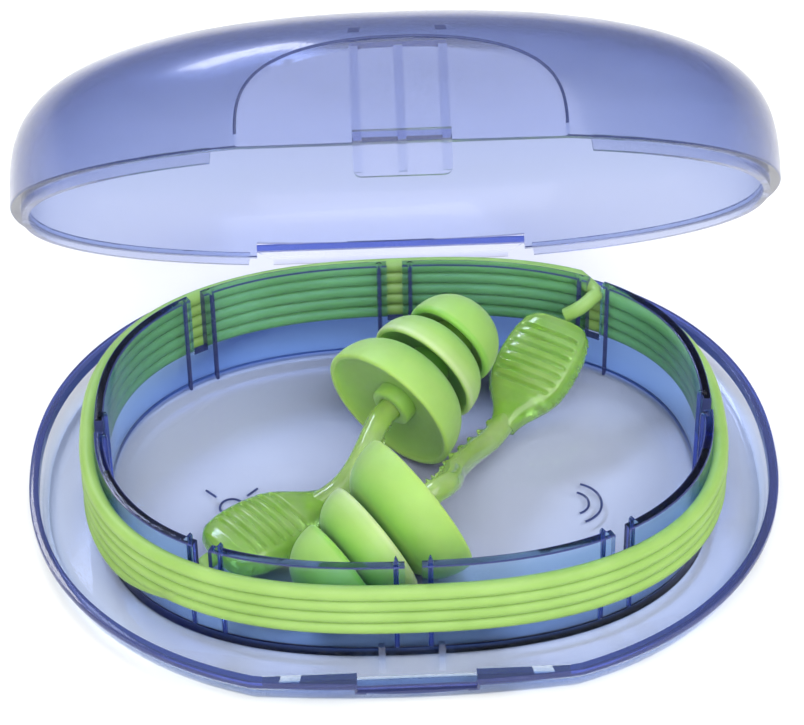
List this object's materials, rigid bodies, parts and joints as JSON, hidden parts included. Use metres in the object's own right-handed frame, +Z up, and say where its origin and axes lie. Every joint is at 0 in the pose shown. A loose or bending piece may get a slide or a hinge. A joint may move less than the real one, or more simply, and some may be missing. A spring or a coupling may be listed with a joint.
{
  "type": "corded ear plugs in a snap case",
  "caption": "Oval translucent snap case with a domed hinged lid and a cord spool, holding corded triple-flange ear plugs on ridged stems.",
  "frame": {"origin": "centre of the case's oval, on the flat face it stands on", "axes": "+Z up out of the tray; the lift tab is at -Y and the lid's hinge at +Y"},
  "size_m": [0.07, 0.0641, 0.0524],
  "materials": {
    "case_plastic": "translucent gloss",
    "lid_plastic": "translucent fine grain",
    "flange_rubber": "soft matte",
    "stem_plastic": "translucent gloss",
    "cord": "matte"
  },
  "bodies": {
    "case": {"base_tray": "case_plastic", "spool_wall": "case_plastic", "gusset_left": "case_plastic", "gusset_right": "case_plastic", "cord_coil": "cord", "cord_lead_a": "cord", "cord_lead_b": "cord"},
    "lid": {"lid_shell": "lid_plastic", "lift_tab": "lid_plastic", "hinge_bar": "lid_plastic", "hinge_flap": "lid_plastic"},
    "plug_a": {"tip_a": "flange_rubber", "stem_a": "stem_plastic", "grip_a": "stem_plastic"},
    "plug_b": {"tip_b": "flange_rubber", "stem_b": "stem_plastic", "grip_b": "stem_plastic"}
  },
  "joints": [
    {"name": "lid_hinge", "type": "hinge", "parent": "case", "child": "lid", "pos_m": [0, 0.0301, 0.0032], "axis": [-1, 0, 0], "range_deg": [-48, 67]},
    {"name": "plug_a_tilt", "type": "hinge", "parent": "case", "child": "plug_a", "pos_m": [-0.0178, -0.014, 0.0046], "axis": [0.6823, -0.7311, 0], "range_deg": [0, 2.5]},
    {"name": "plug_b_tilt", "type": "hinge", "parent": "case", "child": "plug_b", "pos_m": [0.0163, 0.0131, 0.0089], "axis": [-0.8575, 0.5145, 0], "range_deg": [0, 1.5]}
  ]
}
